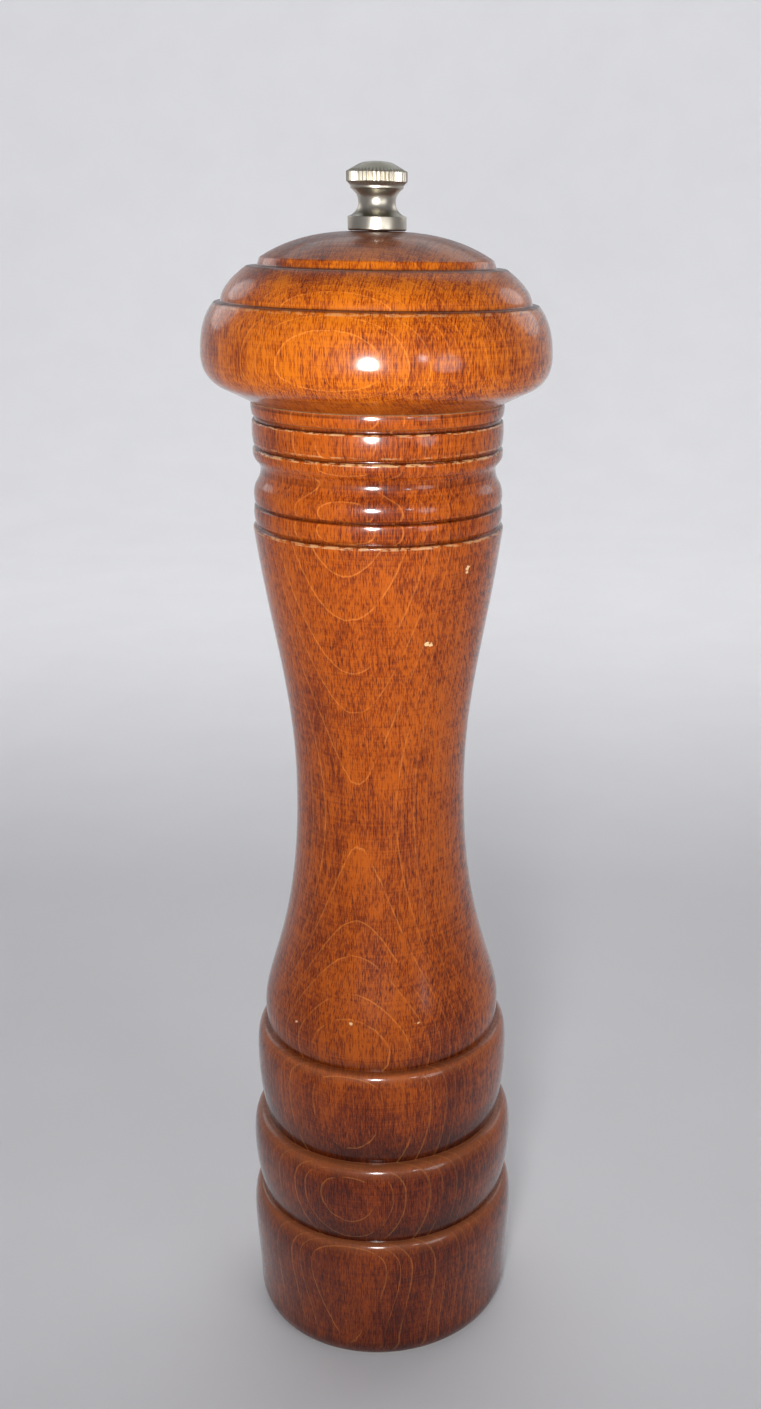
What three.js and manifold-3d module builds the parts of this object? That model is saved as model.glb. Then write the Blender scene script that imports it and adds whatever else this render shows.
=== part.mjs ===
// Pepper mill: a hollow turned wooden barrel and a turned head, a burr mechanism on a
// square shaft, and a knurled finial nut that sets the grind.
// Millimetres, +Z up, origin at the middle of the foot.
import * as THREE from "three";
import { mergeVertices } from "three/addons/utils/BufferGeometryUtils.js";
import Module from "manifold-3d";

const wasm = await Module();
wasm.setup();

// Driving dimensions
const GAP = 0.3; // clearance between two pieces that touch
const FOOT_R = 28.8;
const BASE_R = 31.5;
const WAIST_R = 18.97;
const WAIST_Z = 133.5;
const NECK_R = 26.5;
const BARREL_TOP = 219.9;
const HEAD_R = 36.5;
const CROWN_Z = 253.9;
const BORE_R = 13.5;
const COUNTERBORE_R = 21.5;
const COUNTERBORE_TOP = 23;

// Head: a tenon drops into the bore, and the shaft passes through the middle
const TENON_BOTTOM = 206.4;
const TENON_R = BORE_R - GAP;
const HEAD_HOLE_R = 4.6;

// Shaft: square, with a round spigot below and a threaded stud above
const SHAFT_WIDTH = 6;
const SHAFT_BOTTOM = 10.5;
const SHAFT_TOP = 250;
const SPIGOT_R = 2.4;
const SPIGOT_BOTTOM = 2.3;
const STUD_R = 2.4;
const STUD_TOP = 262.5;
const SQUARE_HOLE = SHAFT_WIDTH + 2 * GAP;

// Burrs: [height, radius] up the toothed cones; the rotor turns inside the stator
const BURR_TEETH = 16;
const TOOTH_SHARE = 0.07; // tooth depth over radius
const BURR_TWIST = 0.035; // radians per millimetre
const ROTOR_CONE = [[10.5, 11.8], [12.7, 10.92], [15, 10], [20.5, 6]];
const STATOR_CONE = [[11.8, 12.58], [15, 11.2], [23.2, 13.8]];
const STATOR_BOTTOM = 12.3;
const STATOR_TOP = COUNTERBORE_TOP - GAP;

// Retainer bar: a bent strap that holds the stator up and centres the spigot
const BAR_BOTTOM = 2.5;
const BAR_THICK = 1.5;
const BAR_WIDTH = 12;
const BAR_LEG_X = 13.6;
const BAR_END_X = 20.3;
const BAR_TAB_TOP = STATOR_BOTTOM - GAP;
const BAR_HOLE_R = SPIGOT_R + GAP;
const BAR_SCREW = { x: 17.6, headR: 3.4, headH: 1.9, shankR: 1.7, length: 20 };

// Clip and spring round the spigot
const CLIP_BOTTOM = 9.7;
const CLIP_TOP = SHAFT_BOTTOM - GAP;
const CLIP_R = 4.6;
const CLIP_GROOVE_R = 1.9;
const SPRING_BOTTOM = BAR_BOTTOM + BAR_THICK + GAP;
const SPRING_TOP = CLIP_BOTTOM - GAP;
const SPRING_R = 3.7;
const SPRING_WIRE_R = 0.4;
const SPRING_TURNS = 4;

// Drive plate under the tenon
const PLATE_R = 12.6;
const PLATE_THICK = 1.3;
const PLATE_TOP = TENON_BOTTOM - GAP;
const PLATE_SCREWS = 4;
const PLATE_SCREW = { ring: 9.2, headR: 2.1, headH: 1.2, shankR: 1.1, length: 8.5 };

// Finial nut
const KNOB_BOTTOM = 254.2;
const KNOB_TOP = 267.4;
const KNOB_FLANGE_R = 6;
const KNOB_NECK_R = 3.8;
const KNOB_RIM_R = 6.2;
const KNOB_RIM_BOTTOM = 263.3;
const KNOB_RIM_TOP = 265.6;
const KNURLS = 48;
const KNURL_DEPTH = 0.25;

// Mesh fineness
const ROUND = 40; // sides of a large turned piece
const SMALL_ROUND = 20; // sides of a small turned piece
const CURVE_STEP = 7; // longest step along a curved outline
const CURVE_MIN_STEPS = 3;

const finish = {
  wood: { color: 0x9c4a14, roughness: 0.3, metalness: 0 },
  nickel: { color: 0xcfc8b8, roughness: 0.22, metalness: 1 },
  aluminium: { color: 0xb8babd, roughness: 0.4, metalness: 1 },
  steel: { color: 0x84868a, roughness: 0.45, metalness: 1 },
  zinc: { color: 0xa9abaf, roughness: 0.35, metalness: 1 },
};

const mill = new THREE.Group();

function addPiece(name, geometry, finishName) {
  const mesh = new THREE.Mesh(geometry, new THREE.MeshStandardMaterial(finish[finishName]));
  mesh.name = name;
  mill.add(mesh);
}

// Solids for cutting and joining
function solidOf(geometry) {
  const bare = geometry.clone();
  bare.deleteAttribute("normal");
  bare.deleteAttribute("uv");
  const merged = mergeVertices(bare, 1e-4);
  return new wasm.Manifold(new wasm.Mesh({
    numProp: 3,
    vertProperties: new Float32Array(merged.attributes.position.array),
    triVerts: new Uint32Array(merged.index.array),
  }));
}

function geometryOf(solid) {
  const mesh = solid.getMesh();
  const geometry = new THREE.BufferGeometry();
  geometry.setAttribute("position", new THREE.BufferAttribute(mesh.vertProperties, 3));
  geometry.setIndex(new THREE.BufferAttribute(mesh.triVerts, 1));
  geometry.computeVertexNormals();
  return geometry;
}

function cut(geometry, ...tools) {
  return geometryOf(tools.reduce((solid, tool) => solid.subtract(solidOf(tool)), solidOf(geometry)));
}

function join(geometry, ...others) {
  return geometryOf(others.reduce((solid, other) => solid.add(solidOf(other)), solidOf(geometry)));
}

// Turned shapes: an outline in (radius, height), the outside running upwards
function outlinePoints(path) {
  const points = [path.curves[0].getPoint(0)];
  for (const curve of path.curves) {
    const byLength = Math.ceil(curve.getLength() / CURVE_STEP);
    const steps = curve.isLineCurve ? 1 : Math.max(CURVE_MIN_STEPS, byLength);
    points.push(...curve.getPoints(steps).slice(1));
  }
  return points;
}

function turned(path, sides) {
  return new THREE.LatheGeometry(outlinePoints(path), sides).rotateX(Math.PI / 2);
}

function rod(radius, bottom, top, x = 0, y = 0, sides = SMALL_ROUND) {
  const geometry = new THREE.CylinderGeometry(radius, radius, top - bottom, sides);
  return geometry.rotateX(Math.PI / 2).translate(x, y, (bottom + top) / 2);
}

function squareRod(width, bottom, top) {
  const geometry = new THREE.BoxGeometry(width, width, top - bottom);
  return geometry.translate(0, 0, (bottom + top) / 2);
}

function tube(innerR, outerR, bottom, top, sides) {
  const path = new THREE.Path();
  path.moveTo(innerR, bottom);
  path.lineTo(outerR, bottom);
  path.lineTo(outerR, top);
  path.lineTo(innerR, top);
  path.lineTo(innerR, bottom);
  return turned(path, sides);
}

// A regular star outline, its first tip on +X
function star(teeth, tipR, rootR) {
  const shape = new THREE.Shape();
  for (let i = 0; i < 2 * teeth; i += 1) {
    const angle = (i * Math.PI) / teeth;
    const radius = i % 2 ? rootR : tipR;
    const point = [radius * Math.cos(angle), radius * Math.sin(angle)];
    if (i) shape.lineTo(...point);
    else shape.moveTo(...point);
  }
  shape.closePath();
  return shape;
}

// A toothed cone: a star extruded in rows, each row moved to its height, radius and twist
function burrCone(cone) {
  const steps = cone.length - 1;
  const outline = star(BURR_TEETH, 1, 1 - TOOTH_SHARE);
  const geometry = new THREE.ExtrudeGeometry(outline, { depth: steps, steps, bevelEnabled: false });
  const position = geometry.attributes.position;
  const point = new THREE.Vector3();
  const axis = new THREE.Vector3(0, 0, 1);
  for (let i = 0; i < position.count; i += 1) {
    point.fromBufferAttribute(position, i);
    const [height, radius] = cone[Math.round(point.z)];
    point.set(point.x * radius, point.y * radius, height);
    point.applyAxisAngle(axis, BURR_TWIST * height);
    position.setXYZ(i, point.x, point.y, point.z);
  }
  return geometry;
}

// A screw that points up: pan head below, pointed shank above
function screw({ headR, headH, shankR, length }, headTop, x, y) {
  const path = new THREE.Path();
  path.moveTo(0, headTop - headH);
  path.lineTo(0.6 * headR, headTop - headH);
  path.lineTo(headR, headTop - 0.6 * headH);
  path.lineTo(headR, headTop);
  path.lineTo(shankR, headTop);
  path.lineTo(shankR, headTop + length - 1.5 * shankR);
  path.lineTo(0, headTop + length);
  return turned(path, SMALL_ROUND).translate(x, y, 0);
}

// Barrel outside, from the foot up: a rounded base, two beads, the long waist, and the neck
function barrelOutside(path) {
  path.lineTo(FOOT_R, 0);
  path.quadraticCurveTo(30.3, 0.9, 30.5, 6);
  path.bezierCurveTo(30.7, 12, BASE_R, 20, BASE_R, 25);
  path.bezierCurveTo(BASE_R, 29, 30.6, 31.6, 29.2, 31.6);
  path.bezierCurveTo(30, 34.5, 31, 39.5, 31, 44.9);
  path.bezierCurveTo(31, 49.5, 30.2, 51.8, 27.9, 51.8);
  path.bezierCurveTo(28.4, 54, 29.55, 60, 29.55, 67.5);
  path.bezierCurveTo(29.55, 72, 29.3, 75.1, 27, 75.1);
  path.quadraticCurveTo(27.42, 77, 27.42, 79.8);
  path.bezierCurveTo(27.42, 89.1, WAIST_R, 99.4, WAIST_R, WAIST_Z);
  path.bezierCurveTo(WAIST_R, 156.2, 23.83, 170.1, 26.85, 193.8);
  vGroove(path, 194.3);
  vGroove(path, 198.6);
  path.lineTo(NECK_R, 200.6);
  path.bezierCurveTo(NECK_R, 203.8, 24.95, 203.6, 24.95, 206.1);
  path.quadraticCurveTo(24.95, 207.4, NECK_R, 208.8);
  vGroove(path, 210.8);
  vGroove(path, 216.6);
  path.lineTo(26.75, BARREL_TOP);
}

// A shallow V cut in the neck
function vGroove(path, height) {
  const half = 0.45;
  const depth = 0.7;
  path.lineTo(NECK_R, height - half);
  path.lineTo(NECK_R - depth, height);
  path.lineTo(NECK_R, height + half);
}

function barrelGeometry() {
  const path = new THREE.Path();
  path.moveTo(COUNTERBORE_R, 0);
  barrelOutside(path);
  path.lineTo(BORE_R, BARREL_TOP);
  path.lineTo(BORE_R, COUNTERBORE_TOP);
  path.lineTo(COUNTERBORE_R, COUNTERBORE_TOP);
  path.lineTo(COUNTERBORE_R, 0);
  const pilotTop = BAR_TAB_TOP - BAR_THICK - GAP + BAR_SCREW.length + GAP;
  const pilot = (x) => rod(BAR_SCREW.shankR + GAP, COUNTERBORE_TOP - 1, pilotTop, x);
  return cut(turned(path, ROUND), pilot(-BAR_SCREW.x), pilot(BAR_SCREW.x));
}

// Places of the drive plate's screws, on the diagonals of the square hole
const plateScrewPlaces = Array.from({ length: PLATE_SCREWS }, (_, i) => {
  const angle = ((i + 0.5) * 2 * Math.PI) / PLATE_SCREWS;
  return [PLATE_SCREW.ring * Math.cos(angle), PLATE_SCREW.ring * Math.sin(angle)];
});

// Head: tenon, sloping underside, big bulge, ledge, shoulder, land, step and low dome
function headGeometry() {
  const underside = BARREL_TOP + GAP;
  const path = new THREE.Path();
  path.moveTo(HEAD_HOLE_R, TENON_BOTTOM);
  path.lineTo(TENON_R, TENON_BOTTOM);
  path.lineTo(TENON_R, underside);
  path.lineTo(26.8, underside);
  path.quadraticCurveTo(27.6, 220.7, 32.2, 222.7);
  path.quadraticCurveTo(HEAD_R, 224.6, HEAD_R, 229.6);
  path.quadraticCurveTo(36.4, 236.5, 33.4, 239.8);
  path.lineTo(32.05, 239.9);
  path.quadraticCurveTo(31.9, 243.1, 26.6, 246.9);
  path.lineTo(24.5, 247);
  path.lineTo(24, 248.5);
  path.quadraticCurveTo(16.2, 253.6, HEAD_HOLE_R, CROWN_Z);
  path.lineTo(HEAD_HOLE_R, TENON_BOTTOM);
  const pilotTop = TENON_BOTTOM + PLATE_SCREW.length - PLATE_THICK;
  const pilots = plateScrewPlaces.map(([x, y]) => rod(
    PLATE_SCREW.shankR + GAP, TENON_BOTTOM - 1, pilotTop, x, y, SMALL_ROUND / 2,
  ));
  return cut(turned(path, ROUND), ...pilots);
}

function shaftGeometry() {
  const path = new THREE.Path();
  path.moveTo(0, SPIGOT_BOTTOM);
  path.lineTo(SPIGOT_R - 0.5, SPIGOT_BOTTOM);
  path.lineTo(SPIGOT_R, SPIGOT_BOTTOM + 0.5);
  path.lineTo(SPIGOT_R, CLIP_BOTTOM - GAP);
  path.lineTo(CLIP_GROOVE_R, CLIP_BOTTOM - GAP);
  path.lineTo(CLIP_GROOVE_R, SHAFT_BOTTOM + 1);
  path.lineTo(0, SHAFT_BOTTOM + 1);
  const stud = rod(STUD_R, SHAFT_TOP - 1, STUD_TOP);
  return join(squareRod(SHAFT_WIDTH, SHAFT_BOTTOM, SHAFT_TOP), turned(path, SMALL_ROUND), stud);
}

function rotorGeometry() {
  return cut(burrCone(ROTOR_CONE), squareRod(SQUARE_HOLE, SHAFT_BOTTOM - 1, ROTOR_CONE.at(-1)[0] + 1));
}

function statorGeometry() {
  const blank = rod(COUNTERBORE_R - GAP, STATOR_BOTTOM, STATOR_TOP, 0, 0, ROUND);
  const screwHole = (x) => rod(BAR_SCREW.shankR + GAP, STATOR_BOTTOM - 1, STATOR_TOP + 1, x);
  return cut(blank, burrCone(STATOR_CONE), screwHole(-BAR_SCREW.x), screwHole(BAR_SCREW.x));
}

// The strap's side view, extruded across its width
function retainerBarGeometry() {
  const tabBottom = BAR_TAB_TOP - BAR_THICK;
  const floor = BAR_BOTTOM + BAR_THICK;
  const inner = BAR_LEG_X - BAR_THICK;
  const corner = 2;
  const right = [
    [BAR_LEG_X - corner, BAR_BOTTOM], [BAR_LEG_X, BAR_BOTTOM + corner], [BAR_LEG_X, tabBottom],
    [BAR_END_X, tabBottom], [BAR_END_X, BAR_TAB_TOP], [inner, BAR_TAB_TOP],
    [inner, floor + 0.6 * corner], [inner - 0.6 * corner, floor],
  ];
  const left = right.map(([x, z]) => [-x, z]).reverse();
  const shape = new THREE.Shape([...right, ...left].map(([x, z]) => new THREE.Vector2(x, z)));
  const strap = new THREE.ExtrudeGeometry(shape, { depth: BAR_WIDTH, bevelEnabled: false });
  strap.rotateX(Math.PI / 2).translate(0, BAR_WIDTH / 2, 0);
  const screwHole = (x) => rod(BAR_SCREW.shankR + GAP, tabBottom - 1, BAR_TAB_TOP + 1, x);
  const spigotHole = rod(BAR_HOLE_R, BAR_BOTTOM - 1, floor + 1);
  return cut(strap, spigotHole, screwHole(-BAR_SCREW.x), screwHole(BAR_SCREW.x));
}

class Helix extends THREE.Curve {
  getPoint(t, target = new THREE.Vector3()) {
    const angle = 2 * Math.PI * SPRING_TURNS * t;
    const low = SPRING_BOTTOM + SPRING_WIRE_R;
    const rise = SPRING_TOP - SPRING_WIRE_R - low;
    return target.set(SPRING_R * Math.cos(angle), SPRING_R * Math.sin(angle), low + rise * t);
  }
}

function springGeometry() {
  const section = new THREE.Shape().absarc(0, 0, SPRING_WIRE_R, 0, 2 * Math.PI);
  const steps = 14 * SPRING_TURNS;
  return new THREE.ExtrudeGeometry(section, { steps, curveSegments: 6, extrudePath: new Helix() });
}

function drivePlateGeometry() {
  const bottom = PLATE_TOP - PLATE_THICK;
  const disc = rod(PLATE_R, bottom, PLATE_TOP, 0, 0, ROUND);
  const holes = plateScrewPlaces.map(([x, y]) => rod(
    PLATE_SCREW.shankR + GAP, bottom - 1, PLATE_TOP + 1, x, y, SMALL_ROUND / 2,
  ));
  return cut(disc, squareRod(SQUARE_HOLE, bottom - 1, PLATE_TOP + 1), ...holes);
}

// Finial nut: flange, hollow neck, collar and low dome, with a blind threaded hole,
// and a straight-knurled rim joined on
function knobGeometry() {
  const threadTop = STUD_TOP + 0.5;
  const path = new THREE.Path();
  path.moveTo(0, threadTop);
  path.lineTo(STUD_R + GAP, threadTop);
  path.lineTo(STUD_R + GAP, KNOB_BOTTOM);
  path.lineTo(KNOB_FLANGE_R - 0.2, KNOB_BOTTOM);
  path.lineTo(KNOB_FLANGE_R, KNOB_BOTTOM + 0.3);
  path.lineTo(KNOB_FLANGE_R, 256.7);
  path.bezierCurveTo(4.6, 257.2, KNOB_NECK_R, 258.2, KNOB_NECK_R, 259.4);
  path.bezierCurveTo(KNOB_NECK_R, 260.8, 4.6, 261.5, 5.4, 262.2);
  path.lineTo(5.4, 262.7);
  path.lineTo(KNOB_RIM_R - KNURL_DEPTH, KNOB_RIM_BOTTOM);
  path.lineTo(KNOB_RIM_R - KNURL_DEPTH, KNOB_RIM_TOP);
  path.quadraticCurveTo(3.6, KNOB_TOP, 0, KNOB_TOP);
  const rimHeight = KNOB_RIM_TOP - KNOB_RIM_BOTTOM;
  const outline = star(KNURLS, KNOB_RIM_R, KNOB_RIM_R - KNURL_DEPTH);
  const rim = new THREE.ExtrudeGeometry(outline, { depth: rimHeight, bevelEnabled: false });
  return join(turned(path, 2 * SMALL_ROUND), rim.translate(0, 0, KNOB_RIM_BOTTOM));
}

// Barrel and the pieces that stay with it
addPiece("barrel", barrelGeometry(), "wood");
addPiece("stator", statorGeometry(), "steel");
addPiece("retainer_bar", retainerBarGeometry(), "zinc");
const barScrewHeadTop = BAR_TAB_TOP - BAR_THICK - GAP;
addPiece("retainer_screw_left", screw(BAR_SCREW, barScrewHeadTop, -BAR_SCREW.x, 0), "zinc");
addPiece("retainer_screw_right", screw(BAR_SCREW, barScrewHeadTop, BAR_SCREW.x, 0), "zinc");

// The turning shaft and its burr
addPiece("shaft", shaftGeometry(), "aluminium");
addPiece("rotor", rotorGeometry(), "steel");
addPiece("rotor_clip", tube(CLIP_GROOVE_R + GAP, CLIP_R, CLIP_BOTTOM, CLIP_TOP, SMALL_ROUND), "zinc");
addPiece("spring", springGeometry(), "steel");

// Head and its drive plate
addPiece("head", headGeometry(), "wood");
addPiece("drive_plate", drivePlateGeometry(), "zinc");
const plateScrewHeadTop = PLATE_TOP - PLATE_THICK - GAP;
plateScrewPlaces.forEach(([x, y], i) => {
  addPiece(`drive_plate_screw_${i + 1}`, screw(PLATE_SCREW, plateScrewHeadTop, x, y), "zinc");
});

// Finial nut
addPiece("knob", knobGeometry(), "nickel");

export default mill;
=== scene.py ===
import math

import bpy
from mathutils import Matrix, Vector


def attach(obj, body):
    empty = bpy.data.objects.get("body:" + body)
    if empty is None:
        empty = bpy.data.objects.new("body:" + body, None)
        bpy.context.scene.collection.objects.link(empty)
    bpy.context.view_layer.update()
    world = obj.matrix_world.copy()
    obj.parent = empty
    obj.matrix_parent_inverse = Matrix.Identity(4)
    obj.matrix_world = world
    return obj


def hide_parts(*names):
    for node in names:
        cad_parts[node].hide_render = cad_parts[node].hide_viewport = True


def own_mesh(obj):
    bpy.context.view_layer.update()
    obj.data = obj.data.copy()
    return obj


# The looks of a turned wooden pepper mill. Sizes are in millimetres up to mesh_object(),
# which turns them into metres.
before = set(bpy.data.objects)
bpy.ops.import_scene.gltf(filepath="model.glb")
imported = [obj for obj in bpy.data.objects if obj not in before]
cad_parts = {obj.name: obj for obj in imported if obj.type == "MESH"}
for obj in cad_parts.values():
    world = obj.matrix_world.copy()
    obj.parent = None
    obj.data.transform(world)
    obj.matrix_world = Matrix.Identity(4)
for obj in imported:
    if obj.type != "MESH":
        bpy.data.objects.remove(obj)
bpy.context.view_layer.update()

MM = 0.001
TURN = 2 * math.pi
ROUND = 240  # sides of a large turned piece
SMALL_ROUND = 96  # sides of a small turned piece
SHARP_DEG = 32  # two faces that meet at more than this keep a sharp edge
TINY = 1e-6


# ---------------------------------------------------------------- meshes
def mesh_object(name, points, faces, sharp_deg=SHARP_DEG):
    """A piece from points in millimetres, smooth but for its sharp edges."""
    mesh = bpy.data.meshes.new(name)
    mesh.from_pydata([tuple(c * MM for c in p) for p in points], [], faces)
    obj = bpy.data.objects.new(name, mesh)
    bpy.context.collection.objects.link(obj)
    shade(mesh, sharp_deg)
    return obj


def shade(mesh, sharp_deg=SHARP_DEG):
    """Smooth shading that breaks at the sharp edges."""
    mesh.validate()
    mesh.polygons.foreach_set("use_smooth", [True] * len(mesh.polygons))
    mesh.set_sharp_from_angle(angle=math.radians(sharp_deg))
    mesh.update()


class Outline:
    """A turned outline in (radius, height): the outside is drawn upwards."""

    def __init__(self, r, z):
        self.points = [(r, z)]

    def line(self, *ends):
        self.points += list(zip(ends[::2], ends[1::2]))
        return self

    def quad(self, r1, z1, r2, z2, steps=10):
        r0, z0 = self.points[-1]
        for k in range(1, steps + 1):
            t = k / steps
            a, b, c = (1 - t) ** 2, 2 * t * (1 - t), t * t
            self.points.append((a * r0 + b * r1 + c * r2, a * z0 + b * z1 + c * z2))
        return self

    def cubic(self, r1, z1, r2, z2, r3, z3, steps=20):
        r0, z0 = self.points[-1]
        for k in range(1, steps + 1):
            t = k / steps
            a, b, c, d = (1 - t) ** 3, 3 * t * (1 - t) ** 2, 3 * t * t * (1 - t), t ** 3
            r, z = a * r0 + b * r1 + c * r2 + d * r3, a * z0 + b * z1 + c * z2 + d * z3
            self.points.append((r, z))
        return self

    def softened(self, radius, least_deg=12, steps=3):
        """The same outline with its corners rounded."""
        points = [Vector(p) for p in self.points]
        closed = (points[0] - points[-1]).length < TINY
        if closed:
            points = points[:-1]
        out = []
        for i, p in enumerate(points):
            if not closed and i in (0, len(points) - 1):
                out.append(tuple(p))
                continue
            before, after = points[i - 1] - p, points[(i + 1) % len(points)] - p
            if before.length < TINY or after.length < TINY:
                continue
            if math.degrees(math.pi - before.angle(after)) < least_deg:
                out.append(tuple(p))
                continue
            cut = min(radius, 0.45 * before.length, 0.45 * after.length)
            a, b = p + before.normalized() * cut, p + after.normalized() * cut
            for k in range(steps + 1):
                t = k / steps
                out.append(tuple((1 - t) ** 2 * a + 2 * t * (1 - t) * p + t * t * b))
        if closed:
            out.append(out[0])
        return out


def turned(name, outline, sides=ROUND, shape=None, sharp_deg=SHARP_DEG):
    """A turned solid. shape(r, z, angle) may give the radius at an angle."""
    closed = outline[0] == outline[-1]
    rows = outline[:-1] if closed else outline
    points, rings = [], []
    for r, z in rows:
        if r < TINY:
            rings.append([len(points)] * sides)
            points.append((0, 0, z))
            continue
        rings.append(list(range(len(points), len(points) + sides)))
        for j in range(sides):
            a = TURN * j / sides
            reach = shape(r, z, a) if shape else r
            points.append((reach * math.cos(a), reach * math.sin(a), z))
    faces = []
    for i in range(len(rings) if closed else len(rings) - 1):
        low, high = rings[i], rings[(i + 1) % len(rings)]
        for j in range(sides):
            k = (j + 1) % sides
            corners = [low[j], low[k], high[k], high[j]]
            faces.append([c for n, c in enumerate(corners) if c not in corners[:n]])
    return mesh_object(name, points, faces, sharp_deg)


def prism(name, outline, low, high):
    """An outline in (x, y), drawn anticlockwise, raised from low to high."""
    n = len(outline)
    points = [(x, y, z) for z in (low, high) for x, y in outline]
    sides = [[i, (i + 1) % n, (i + 1) % n + n, i + n] for i in range(n)]
    return mesh_object(name, points, sides + [list(range(n))[::-1], list(range(n, 2 * n))])


def circle(r, sides=48, x=0, y=0):
    return [(x + r * math.cos(TURN * k / sides), y + r * math.sin(TURN * k / sides)) for k in range(sides)]


def rectangle(wide, deep):
    return [(i * wide / 2, j * deep / 2) for i, j in ((-1, -1), (1, -1), (1, 1), (-1, 1))]


def applied(obj, kind, **settings):
    """The piece with one modifier applied."""
    modifier = obj.modifiers.new(kind, kind)
    for key, value in settings.items():
        setattr(modifier, key, value)
    evaluated = obj.evaluated_get(bpy.context.evaluated_depsgraph_get())
    shaped = bpy.data.meshes.new_from_object(evaluated)
    obj.modifiers.clear()
    obj.data = shaped
    shade(obj.data)
    return obj


def cut(obj, *tools, operation="DIFFERENCE"):
    """The piece with each tool cut from it; the tools are used up."""
    for tool in tools:
        applied(obj, "BOOLEAN", object=tool, operation=operation, solver="MANIFOLD")
        bpy.data.objects.remove(tool)
    return obj


def place(obj, body, slot, material, *nodes):
    """Rides the piece on its body in place of its CAD nodes, with its material."""
    obj.data.materials.clear()
    obj.data.materials.append(material)
    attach(obj, body)
    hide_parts(*nodes)
    return obj


def square(half, corner, a):
    """The radius of a square bar with rounded corners, at angle a."""
    a = abs((a + math.pi / 4) % (math.pi / 2) - math.pi / 4)
    c = half - corner
    if half * math.tan(a) <= c:
        return half / math.cos(a)
    along = c * (math.cos(a) + math.sin(a))
    return along + math.sqrt(along * along - 2 * c * c + corner * corner)


THREAD_FLANK, THREAD_CREST = 1.35, 0.15  # slope of the flanks, and flat left at the crest
TOOTH_FRONT = 0.25  # share of a burr tooth that its steep side takes


def thread(r, z, a, depth, pitch):
    """The radius of a right-hand thread whose crests reach r."""
    phase = (z / pitch - a / TURN) % 1
    return r - depth * min(1, max(0, THREAD_FLANK * abs(2 * phase - 1) - THREAD_CREST))


def tooth(a, z, count, lean):
    """0 at a burr tooth's tip and 1 at its root, steep on one side."""
    phase = (count * (a - lean * z) / TURN) % 1
    return phase / TOOTH_FRONT if phase < TOOTH_FRONT else (1 - phase) / (1 - TOOTH_FRONT)


# ---------------------------------------------------------------- node trees
class Tree:
    """A material, built node by node. Its shading methods give back an output socket."""

    def __init__(self, name):
        self.material = bpy.data.materials.new(name)
        self.material.use_nodes = True
        self.nodes, self.links = self.material.node_tree.nodes, self.material.node_tree.links
        self.nodes.clear()

    def add(self, kind, inputs=(), **settings):
        made = self.nodes.new("ShaderNode" + kind)
        for key, value in settings.items():
            setattr(made, key, value)
        for key, value in dict(inputs).items():
            self.feed(made.inputs[key], value)
        return made

    def feed(self, socket, value):
        if isinstance(value, bpy.types.NodeSocket):
            self.links.new(value, socket)
        else:
            socket.default_value = value

    def math(self, operation, *values, clamp=False):
        made = self.add("Math", operation=operation, use_clamp=clamp)
        for socket, value in zip(made.inputs, values):
            self.feed(socket, value)
        return made.outputs[0]

    def vector(self, operation, *values):
        made = self.add("VectorMath", operation=operation)
        for socket, value in zip(made.inputs, values):
            self.feed(socket, value)
        return made.outputs["Value" if operation in ("DOT_PRODUCT", "LENGTH", "DISTANCE") else "Vector"]

    def place_mm(self):
        """Where a point of the object is, in millimetres."""
        place = self.vector("SCALE", self.add("TexCoord").outputs["Object"])
        place.node.inputs["Scale"].default_value = 1 / MM
        return place

    def part(self, vector, axis):
        return self.add("SeparateXYZ", {"Vector": vector}).outputs[axis]

    def normal(self):
        return self.add("TexCoord").outputs["Normal"]

    def noise(self, at, scales, detail=2.0, roughness=0.5):
        where = self.vector("MULTIPLY", at, scales)
        made = self.add("TexNoise", {"Vector": where, "Scale": 1.0, "Detail": detail, "Roughness": roughness})
        return made.outputs["Fac"]

    def span(self, value, low, high, to_low=0.0, to_high=1.0):
        """The value from low to high, as a smooth step."""
        made = self.add("MapRange", {"Value": value, "From Min": low, "From Max": high,
                                     "To Min": to_low, "To Max": to_high},
                        interpolation_type="SMOOTHSTEP")
        return made.outputs["Result"]

    def mix(self, factor, a, b, blend="MIX"):
        made = self.add("Mix", data_type="RGBA", blend_type=blend)
        self.feed(made.inputs["Factor"], factor)
        for key, value in (("A", a), ("B", b)):
            socket = next(s for s in made.inputs if s.name == key and s.type == "RGBA")
            self.feed(socket, value)
        return next(s for s in made.outputs if s.type == "RGBA")

    def bump(self, height, strength, distance):
        made = self.add("Bump", {"Height": height, "Strength": strength, "Distance": distance})
        return made.outputs["Normal"]

    def finish(self, **inputs):
        """The material, with a Principled shader on top of these inputs."""
        shader = self.add("BsdfPrincipled", {k.replace("_", " "): v for k, v in inputs.items()})
        output = self.add("OutputMaterial")
        self.links.new(shader.outputs["BSDF"], output.inputs["Surface"])
        return self.material


def rgb(r, g, b):
    return (r, g, b, 1.0)


# ---------------------------------------------------------------- wood
# Beech, whose growth sheets lie almost square to the front, turned a little to the left
GRAIN_TURN = math.radians(-10)
SHEET_OUT = (math.sin(GRAIN_TURN), -math.cos(GRAIN_TURN), 0.0)
SHEET_ALONG = (math.cos(GRAIN_TURN), math.sin(GRAIN_TURN), 0.0)
PITH_AWAY = 160.0  # how far the middle of the tree is, which bows the sheets
RING_DEPTHS = (17.3, 19.1, 20.9, 22.4, 24.6, 26.1, 28.65, 29.55, 30.4, 32.4, 33.9, 35.2)
RING_SPACING = 1.9  # of the even rings further in
RING_REACH = 40.0  # the depths run from minus this to this
RING_COUNT = 50.0  # rings that the top of the curve stands for
LEAST_SLOPE = 0.1  # keeps the lines narrow where a face lies along its ring
LINE_FULL, LINE_GONE = 0.16, 0.44  # how far past a ring's end its line is full, and has faded out
LINE_AMOUNT = 0.75

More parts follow.
